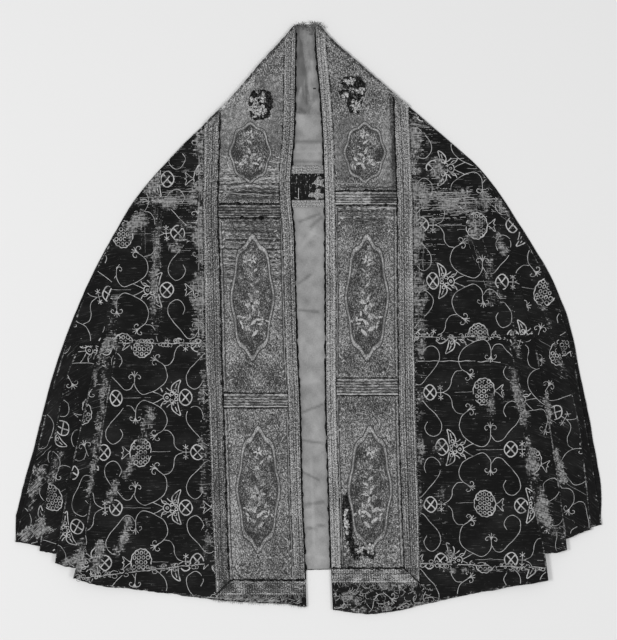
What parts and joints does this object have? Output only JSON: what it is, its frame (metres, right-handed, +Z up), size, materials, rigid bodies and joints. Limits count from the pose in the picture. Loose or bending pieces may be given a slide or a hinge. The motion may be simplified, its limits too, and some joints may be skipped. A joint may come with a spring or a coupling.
{
  "type": "cope vestment",
  "caption": "Velvet cope with embroidered orphreys, a lining and a clasp strap, laid flat on its back with its fronts up and three knife pleats at each side",
  "frame": {"origin": "middle of the flat underside, in the plane that the cope rests on", "axes": "+Y towards the neck, +X to the right as seen from the front, +Z up from the surface that it lies on"},
  "size_m": [1.438, 1.4445, 0.019],
  "materials": {
    "velvet": "cut velvet, worn along its folds",
    "lining": "plain woven lining, matt",
    "needlework": "couched thread embroidery",
    "guard_braid": "woven braid with a fine lengthwise rib",
    "ribbed_band": "laid thread in close ribs",
    "applied_work": "raised, applied embroidery"
  },
  "bodies": {
    "root": {"back_centre_width": "velvet", "back_left_width": "velvet", "back_right_width": "velvet", "clasp_strap": "velvet", "left_front_upper_width": "velvet", "left_front_middle_width": "velvet", "left_front_bottom_width": "velvet", "left_side_folds": "velvet", "right_front_upper_width": "velvet", "right_front_middle_width": "velvet", "right_front_bottom_width": "velvet", "right_side_folds": "velvet", "lining_top": "lining", "lining_body": "lining", "back_neck_orphrey": "needlework", "clasp_braid_upper": "guard_braid", "clasp_braid_lower": "guard_braid", "left_orphrey_top_panel": "needlework", "left_orphrey_middle_panel": "needlework", "left_orphrey_lower_panel": "needlework", "left_inner_guard": "guard_braid", "left_outer_guard": "guard_braid", "left_bottom_guard": "guard_braid", "left_cross_band_1": "ribbed_band", "left_cross_band_2": "ribbed_band", "left_device_top": "applied_work", "left_device_middle": "applied_work", "left_device_lower": "applied_work", "right_orphrey_top_panel": "needlework", "right_orphrey_middle_panel": "needlework", "right_orphrey_lower_panel": "needlework", "right_inner_guard": "guard_braid", "right_outer_guard": "guard_braid", "right_bottom_guard": "guard_braid", "right_cross_band_1": "ribbed_band", "right_cross_band_2": "ribbed_band", "right_device_top": "applied_work", "right_device_middle": "applied_work", "right_device_lower": "applied_work"}
  },
  "joints": []
}
